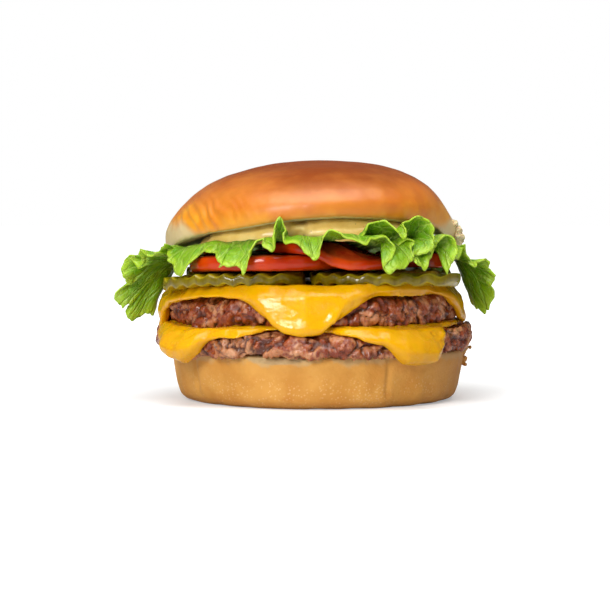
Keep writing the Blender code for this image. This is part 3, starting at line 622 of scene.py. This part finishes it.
def leaf(name, knots, inner, above, steps_u, steps_v, seed):
    """A leaf from a grid: it lies on its bed, turns up over the fold, and runs out to its frilled margin."""
    walk, length = margin_walk(knots, steps_u)
    bpy.ops.object.select_all(action="DESELECT")
    bpy.ops.mesh.primitive_grid_add(x_subdivisions=steps_u, y_subdivisions=steps_v, size=2)
    piece = bpy.context.object
    piece.name = piece.data.name = name

    def place(u, v):
        azimuth, margin_r, margin_z, pull, even = walk[round(u * steps_u)]
        run = u * length
        azimuth = math.radians(even + (azimuth - even) * rise(FLAT_SHARE, 1.0, v))
        if v < FLAT_SHARE:
            r = inner + (FOLD - inner) * v / FLAT_SHARE
            x, y = polar(r, azimuth)
            crumple = 0.4 * MM + 3.2 * MM * lump((x, y, 0), 7 * MM, seed)
            crumple *= rise(FOLD - 1 * MM, FOLD - 8 * MM, r)
            return Vector((x, y, bed(x, y) + above + crumple))
        tooth = 0.03 * lump((run, 0, 0), 1.8 * MM, seed) + 0.05 * lump((run, 0, 0), 5 * MM, seed + 1)
        w = (v - FLAT_SHARE) / (1 - FLAT_SHARE) * (1 + tooth * rise(0.6, 1.0, v))
        crest_r = FOLD + 0.45 * (margin_r * MM - FOLD)
        r = FOLD * (1 - w) ** 2 + 2 * crest_r * w * (1 - w) + margin_r * MM * w ** 2
        start = bed(*polar(FOLD, azimuth)) + above
        z = start * (1 - w) ** 2 + 2 * (pull * MM + above) * w * (1 - w) + margin_z * MM * w ** 2
        frill = rise(0.45, 1.05, w)
        r += frill * (1.5 * MM * lump((run, 5 * MM * w, 0), 4.6 * MM, seed + 2) - 0.3 * MM)
        z += frill * (1.0 * MM * lump((run, 5 * MM * w, 0), 3.6 * MM, seed + 7))
        azimuth += frill * 0.018 * lump((run, 5 * MM * w, 0), 4.0 * MM, seed + 9)
        azimuth += rise(0.1, 0.9, w) * 0.035 * lump((run, 9 * MM * w, 0), 13 * MM, seed + 5)
        return Vector((*polar(r, azimuth), z))

    for point in piece.data.vertices:
        point.co = place((point.co.x + 1) / 2, (point.co.y + 1) / 2)
    for corner in piece.data.uv_layers.active.data:
        corner.uv = (corner.uv.x * length, corner.uv.y * LEAF_RUN)
    piece.data.update()

    def blister(place, normal):
        return 0.4 * MM * lump(place, 4.5 * MM, seed + 3) + 0.15 * MM * lump(place, 1.8 * MM, seed + 4)

    pushed(piece, blister)
    shape(piece, "SOLIDIFY", thickness=0.5 * MM, offset=0.0)
    return piece


green = Finish("lettuce", subsurface_weight=0.3, subsurface_scale=1.5 * MM, specular_ior_level=0.35)
green.feed("Subsurface Radius", (0.6, 1.0, 0.12))
uv = green.node("ShaderNodeTexCoord").outputs["UV"]
drift = green.node("ShaderNodeTexNoise", Vector=uv, Scale=1 / (7 * MM), Detail=2.0).outputs["Color"]
drift = green.node("ShaderNodeVectorMath", {"operation": "SCALE"}, _0=drift, Scale=3 * MM).outputs["Vector"]
wavy = green.node("ShaderNodeVectorMath", {"operation": "ADD"}, _0=uv, _1=drift).outputs["Vector"]
branches = green.stretched((1, 0.5, 1), place=wavy)
net = green.span(green.cells(5.5 * MM, "DISTANCE_TO_EDGE", place=branches), 0.0, 0.11, 1, 0)
fine = green.span(green.cells(1.9 * MM, "DISTANCE_TO_EDGE", place=wavy), 0.0, 0.13, 1, 0)
out = green.node("ShaderNodeSeparateXYZ", Vector=uv).outputs["Y"]
tone = green.mix(green.span(green.noise(13 * MM, 3), 0.36, 0.64), tint(122, 166, 4), tint(94, 144, 2))
# Painted shade: the inner part of each leaf, lying under the layers above, is darkened to a deep green
tone = green.mix(green.span(out, 5 * MM, 15 * MM, 0.95, 0), tone, tint(52, 88, 0))
# Paler yellow-green towards the margin: partly the leaf's own colour, partly a painted highlight where the
# frill catches the light
tone = green.mix(green.span(out, 20.5 * MM, LEAF_RUN, 0, 0.75), tone, tint(176, 204, 50))
tone = green.mix(green.maths("MULTIPLY", net, 0.4), tone, tint(172, 200, 84))
tone = green.mix(green.maths("MULTIPLY", fine, 0.12), tone, tint(168, 200, 80))
green.feed("Base Color", tone)
green.feed("Roughness", green.span(out, 5 * MM, 12 * MM, 0.7, 0.36))
ribs = green.bump(net, -0.4 * MM)
green.feed("Normal", green.bump(fine, -0.12 * MM, ribs))
# Name, margin, start of the leaf and lift above its bed, faces along and out from the middle, and seed
LEAVES = (
    ("front_lettuce_leaf", FRONT_LEAF, 8 * MM, 0.0, 1000, 36, 2.0),
    ("tucked_lettuce_leaf", TUCKED_LEAF, 36 * MM, 1.3 * MM, 620, 32, 8.0),
    ("left_lettuce_leaf", LEFT_LEAF, 8 * MM, 0.0, 1000, 36, 3.0),
    ("right_lettuce_leaf", RIGHT_LEAF, 8 * MM, 0.0, 1000, 36, 5.0),
)
for name, *form in LEAVES:
    # The tucked leaf stands for a second layer of the front one
    node = "lettuce_" + name.replace("tucked", "front").split("_")[0]
    serve(leaf(name, *form), green, "lettuce", node)


# Sauce
# A thick mayonnaise sauce with mustard and ground spice, spread on the crown's cut face. The weight of
# the crown squeezes it out at the front in two soft lobes, and in a thinner line between them.

# The sauce's rim, all round: azimuth, then low edge, high edge and thickness
SQUEEZED = (
    (-180, 52, 54.5, 2.2), (-150, 52, 54.5, 2.6), (-120, 51.5, 53.5, 1.4), (-95, 50, 52, 1.4),
    (-75, 50, 52.5, 1.8), (-62, 51.5, 56.5, 3.8), (-50, 53, 59.2, 4.8), (-38, 53.5, 60.8, 5),
    (-24, 54.5, 62.2, 4.4), (-15, 56, 62.8, 2.8), (-8, 57, 62.8, 2), (-2, 56.5, 62.9, 3.4),
    (8, 55.5, 63.1, 4.4), (20, 55, 63, 4.6), (32, 55, 62.4, 4.2), (45, 54.5, 60.4, 3.4),
    (60, 52, 57, 2.2), (80, 48, 50, 1.4), (110, 50, 52, 1.4), (140, 52, 54, 2.4),
)


def waves(place, normal):
    """Soft swells over the sauce."""
    return 0.6 * MM * lump(place, 8 * MM, 51) + 0.3 * MM * lump(place, 3.5 * MM, 52)


dressing = melted("sauce", "burger_sauce", hung(SQUEEZED, 44.3, 0, 55))
pushed(dressing, waves)
creamy = Finish("burger_sauce", roughness=0.3, subsurface_weight=0.3, subsurface_scale=1.5 * MM)
creamy.feed("Subsurface Radius", (1.0, 0.8, 0.45))
cream = creamy.mix(creamy.span(creamy.noise(6 * MM, 3), 0.35, 0.65), tint(240, 210, 128), tint(228, 190, 100))
spice = creamy.span(creamy.cells(2.3 * MM), 0.13, 0.07, 0, 0.75)
cream = creamy.mix(spice, cream, tint(206, 128, 44))
pepper = creamy.span(creamy.cells(3.7 * MM, place=creamy.stretched((1.1, 0.9, 1.2))), 0.08, 0.05, 0, 0.8)
creamy.feed("Base Color", creamy.mix(pepper, cream, tint(120, 84, 40)))
serve(dressing, creamy, "sauce", "sauce")


# Crown
# The domed top of the bun, glazed and baked to a glossy golden brown that fades to pale dough at the
# cut. The skin is drawn tight, with faint wrinkles at the left and a torn lump of crumb on the right.

CROWN_LOW, CROWN_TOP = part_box("crown")[0].z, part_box("crown")[1].z
TEAR = at(51.0, 92, 54.5)
WRINKLES_AZIMUTH, WRINKLES_HEIGHT = -51, 64.5
# Where the rim of the cut face droops: azimuth and width in degrees, and drop in millimetres
RIM_DROOPS = ((-88, 24, 3.4), (-36, 18, 1.5), (86, 16, 6.2))


def crown_skin(place, normal):
    """The crown's relief: slow swells, fine wrinkles at the front left, and torn crumb round the tear."""
    near = (place - TEAR).length / (9 * MM)
    torn = 1 - rise(0.45, 1.0, near + 0.3 * lump(place, 3 * MM, 61))
    move = 0.45 * MM * lump(place, 16 * MM, 62) + 0.02 * MM * lump(place, 1.6 * MM, 63)
    wrinkled = bell(azimuth_of(place), WRINKLES_AZIMUTH, 17)
    wrinkled *= math.exp(-(((place.z / MM - WRINKLES_HEIGHT) / 5) ** 2))
    slant = (0.9 * place.x + 0.55 * place.z) / (3.2 * MM) + 0.6 * lump(place, 8 * MM, 64)
    move += 0.3 * MM * wrinkled * math.sin(2 * math.pi * slant)
    move += torn * (0.8 * MM * lump(place, 2.4 * MM, 65) + 0.5 * MM * lump(place, 1.1 * MM, 66))
    ragged = (1 - rise(0.3 * MM, 1.6 * MM, abs(place.z - cut_edge(place)))) * (1 - abs(normal.z))
    move += 0.3 * MM * ragged * lump(place, 1.2 * MM, 67)
    return move, max(torn, 0.6 * ragged)


def cut_edge(place):
    """Height of the crown's cut face at its rim."""
    azimuth = azimuth_of(place)
    droop = sum(deep * bell(azimuth, middle, wide) for middle, wide, deep in RIM_DROOPS)
    return 58.9 * MM - 0.085 * place.y + 0.03 * place.x - 3.6 * MM * (place.x / (50 * MM)) ** 2 - droop * MM


crown = copy_of("crown", "crown_bread")
fine_skin(crown, 0.7 * MM, 26)
pushed(crown, crown_skin, note="torn")
glazed = Finish("crown_crust", subsurface_weight=0.1, subsurface_scale=1.5 * MM, coat_roughness=0.42,
                specular_ior_level=0.15)
glazed.feed("Subsurface Radius", (1.0, 0.5, 0.2))
up, across = glazed.along("Z"), glazed.along("X")
level = glazed.maths("ADD", up, glazed.span(glazed.noise(18 * MM, 3), 0.25, 0.75, -2.5 * MM, 2.5 * MM))
level = glazed.maths("SUBTRACT", level, glazed.span(across, -36 * MM, -51 * MM, 0, 4 * MM))
level = glazed.maths("SUBTRACT", level, glazed.span(across, 36 * MM, 49 * MM, 0, 8 * MM))
streaks = glazed.noise(4.5 * MM, 4, place=glazed.stretched((1, 1, 0.45)), warp=0.5)
golden = glazed.mix(glazed.span(glazed.noise(12 * MM, 4), 0.35, 0.65), tint(212, 120, 0), tint(226, 148, 8))
golden = glazed.mix(glazed.span(streaks, 0.5, 0.75, 0, 0.5), golden, tint(232, 166, 52))
browned = glazed.mix(glazed.span(glazed.noise(13 * MM, 4), 0.35, 0.65), tint(192, 102, 6), tint(204, 118, 22))
dark = glazed.mix(glazed.noise(6 * MM, 3), tint(112, 42, 0), tint(134, 56, 6))
dough = glazed.mix(glazed.noise(5 * MM, 3), tint(228, 204, 150), tint(206, 176, 118))
skin = glazed.mix(glazed.span(level, CROWN_LOW + 4 * MM, CROWN_LOW + 9 * MM), dough, golden)
skin = glazed.mix(glazed.span(level, CROWN_LOW + 11 * MM, CROWN_LOW + 19 * MM), skin, browned)
# Darker towards the top: partly the crust's deeper browning, partly painted shade along the dark top outline
skin = glazed.mix(glazed.span(level, CROWN_TOP - 12 * MM, CROWN_TOP - 2 * MM, 0, 0.9), skin, dark)
crumb = glazed.mix(glazed.noise(2.2 * MM, 4), tint(222, 206, 164), tint(186, 158, 108))
skin = glazed.mix(glazed.span(glazed.facing_up(), -0.78, -0.93), skin, crumb)
skin = glazed.mix(glazed.noted("torn"), skin, crumb)
glazed.feed("Base Color", skin)
glazed.feed("Coat Weight", glazed.span(level, CROWN_TOP - 12 * MM, CROWN_TOP - 2 * MM, 0.9, 0.1))
glazed.feed("Roughness", glazed.span(level, CROWN_LOW + 5 * MM, CROWN_LOW + 14 * MM, 0.6, 0.4))
pores = glazed.bump(glazed.noise(0.9 * MM, 2), 0.05 * MM)
glazed.feed("Normal", glazed.bump(glazed.noise(3.5 * MM, 4), 0.12 * MM, pores))
serve(crown, glazed, "crown", "crown")

CROWN_SCRAPS = (
    ((46.6, -6.0, 60.2), 1.4), ((47.8, -5.0, 58.0), 1.7), ((48.1, -4.5, 56.2), 2.0),
    ((47.9, -4.0, 54.2), 1.9), ((46.8, -4.0, 52.4), 1.7), ((45.8, -6.0, 51.0), 1.5),
    ((45.8, -1.0, 55.0), 3.0),
)
torn_crumb = torn_bits("torn_crown_crumb", CROWN_SCRAPS, 19)
floury = Finish("crown_crumb", roughness=0.85, subsurface_weight=0.2, subsurface_scale=1.0 * MM)
floury.feed("Base Color", floury.mix(floury.noise(1.8 * MM, 4), tint(232, 218, 180), tint(190, 160, 108)))
serve(torn_crumb, floury, "crown")


# Studio
# A wide white table in white air, a soft light overhead, another from the front left, a weak
# one from the right, and a long lens low over the table.

bpy.ops.mesh.primitive_circle_add(vertices=128, radius=2.5, fill_type="NGON")
table = bpy.context.object
table.name = "studio_table"
paper = Finish("studio_paper", roughness=0.95, specular_ior_level=0.0)
paper.feed("Base Color", (0.7, 0.7, 0.7, 1))
paper.feed("Emission Color", (1, 1, 1, 1))
distance = paper.node("ShaderNodeVectorMath", {"operation": "LENGTH"}, _0=paper.place).outputs["Value"]
# The table's painted glow brightens it towards the white of the air, only as the camera sees it and not as a
# light
glow = paper.span(distance, 0.06, 0.3, 0.35, 1.0)
seen = paper.node("ShaderNodeLightPath").outputs["Is Camera Ray"]
paper.feed("Emission Strength", paper.maths("MULTIPLY", seen, glow))
table.data.materials.append(paper.material)

scene = bpy.context.scene
scene.view_settings.view_transform = "Standard"
world = bpy.data.worlds.new("studio_air")
world.use_nodes = True
air = world.node_tree.nodes["Background"]
air.inputs["Color"].default_value = (1, 1, 1, 1)
ray = world.node_tree.nodes.new("ShaderNodeLightPath")
bright = world.node_tree.nodes.new("ShaderNodeMapRange")
bright.inputs["To Min"].default_value = 0.17
bright.inputs["To Max"].default_value = 1.0
world.node_tree.links.new(ray.outputs["Is Camera Ray"], bright.inputs["Value"])
world.node_tree.links.new(bright.outputs["Result"], air.inputs["Strength"])
scene.world = world
MIDDLE = Vector((0, 0, 0.05))


def softbox(name, place, width, height, power):
    """A soft rectangular light at this place, turned to the middle of the stack."""
    light = bpy.data.lights.new(name, "AREA")
    light.shape = "RECTANGLE"
    light.size = width
    light.size_y = height
    light.energy = power
    holder = bpy.data.objects.new(name, light)
    holder.location = place
    holder.rotation_mode = "QUATERNION"
    holder.rotation_quaternion = (MIDDLE - Vector(place)).to_track_quat("-Z", "Y")
    scene.collection.objects.link(holder)


softbox("top_softbox", (0, -0.2, 0.75), 0.8, 0.7, 7.6)
softbox("front_softbox", (-0.42, -0.95, 0.45), 0.35, 0.35, 7.6)
softbox("side_softbox", (0.75, -0.55, 0.3), 0.3, 0.3, 0.3)

CAMERA_PLACE = (-0.0045, -0.9, 0.0809)
CAMERA_DIP = 3.1
camera = bpy.data.cameras.new("camera")
camera.lens = 153.7
camera.sensor_width = 36
camera.clip_start = 0.05
tripod = bpy.data.objects.new("camera", camera)
tripod.location = CAMERA_PLACE
tripod.rotation_euler = (math.radians(90 - CAMERA_DIP), 0, 0)
scene.collection.objects.link(tripod)
scene.camera = tripod
